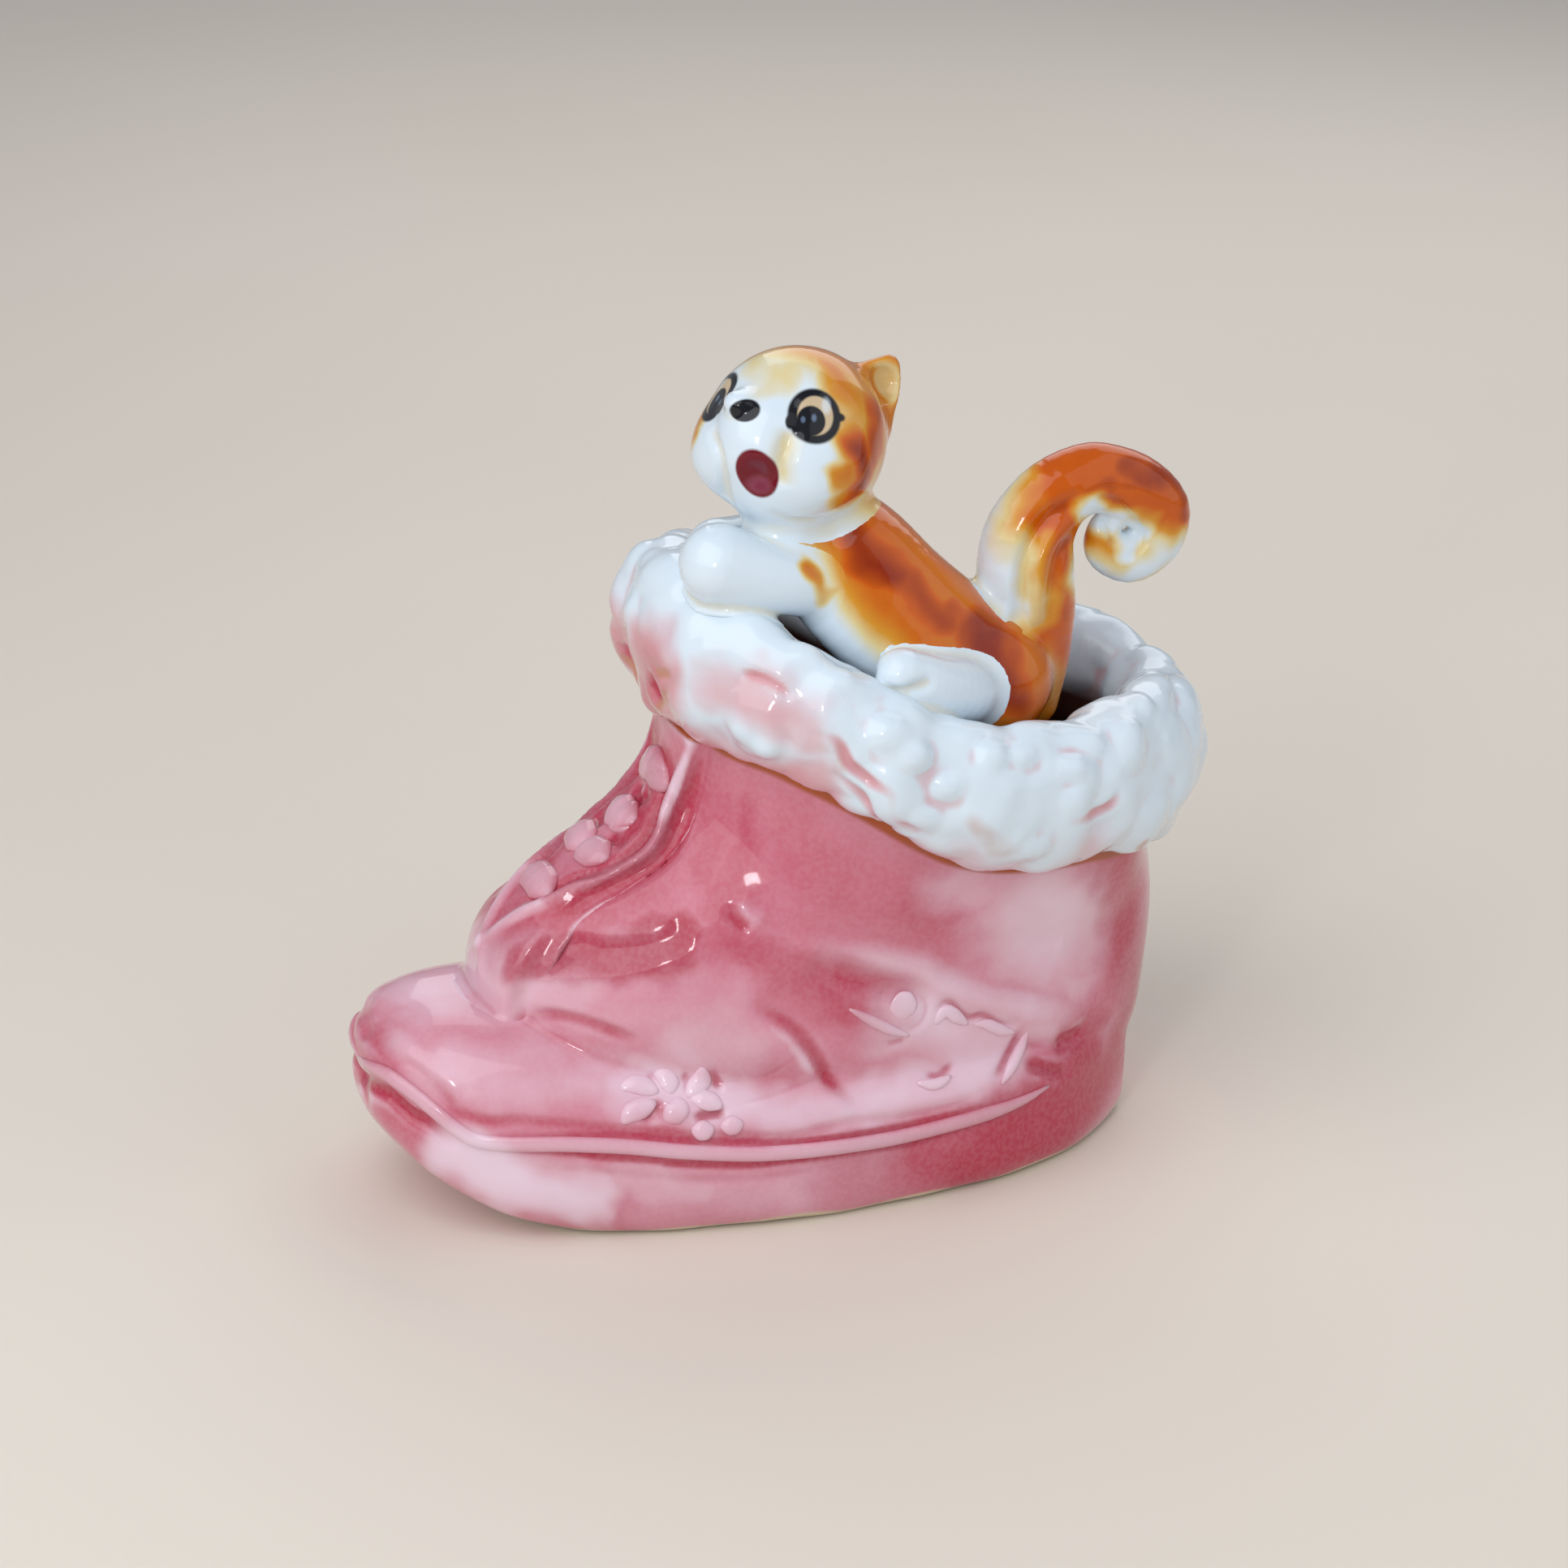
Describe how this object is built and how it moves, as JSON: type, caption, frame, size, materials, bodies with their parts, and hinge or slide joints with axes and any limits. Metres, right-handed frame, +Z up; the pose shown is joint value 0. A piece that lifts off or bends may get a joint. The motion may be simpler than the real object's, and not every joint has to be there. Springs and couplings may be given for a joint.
{
  "type": "squirrel figurine",
  "caption": "Glazed ceramic ornament of a squirrel lying over the fur cuff of a baby's bootie, one paw on the cuff and its tail curled up behind.",
  "frame": {"origin": "On the table, at the middle of the box round the whole ornament.", "axes": "+Z is up. The toe of the bootie points along -Y and the heel along +Y. +X is the side that the picture shows, and X = 0 is the middle plane of the bootie."},
  "size_m": [0.0616, 0.1073, 0.1031],
  "materials": {
    "pink_glaze": "glossy airbrushed glaze",
    "white_glaze": "glossy glaze",
    "squirrel_glaze": "glossy painted glaze"
  },
  "bodies": {
    "root": {"boot_body": "pink_glaze", "fur_cuff": "white_glaze", "sole_welt": "pink_glaze", "lace_panel": "pink_glaze", "lace_loops": "pink_glaze", "near_flower_sprig": "pink_glaze", "near_leaf_sprig": "pink_glaze", "far_flower_sprig": "pink_glaze", "far_leaf_sprig": "pink_glaze", "squirrel_torso": "squirrel_glaze", "squirrel_head": "squirrel_glaze", "near_ear": "squirrel_glaze", "far_ear": "squirrel_glaze", "near_arm": "squirrel_glaze", "far_arm": "squirrel_glaze", "near_hind_leg": "squirrel_glaze", "far_hind_leg": "squirrel_glaze", "squirrel_tail": "squirrel_glaze"}
  },
  "joints": []
}
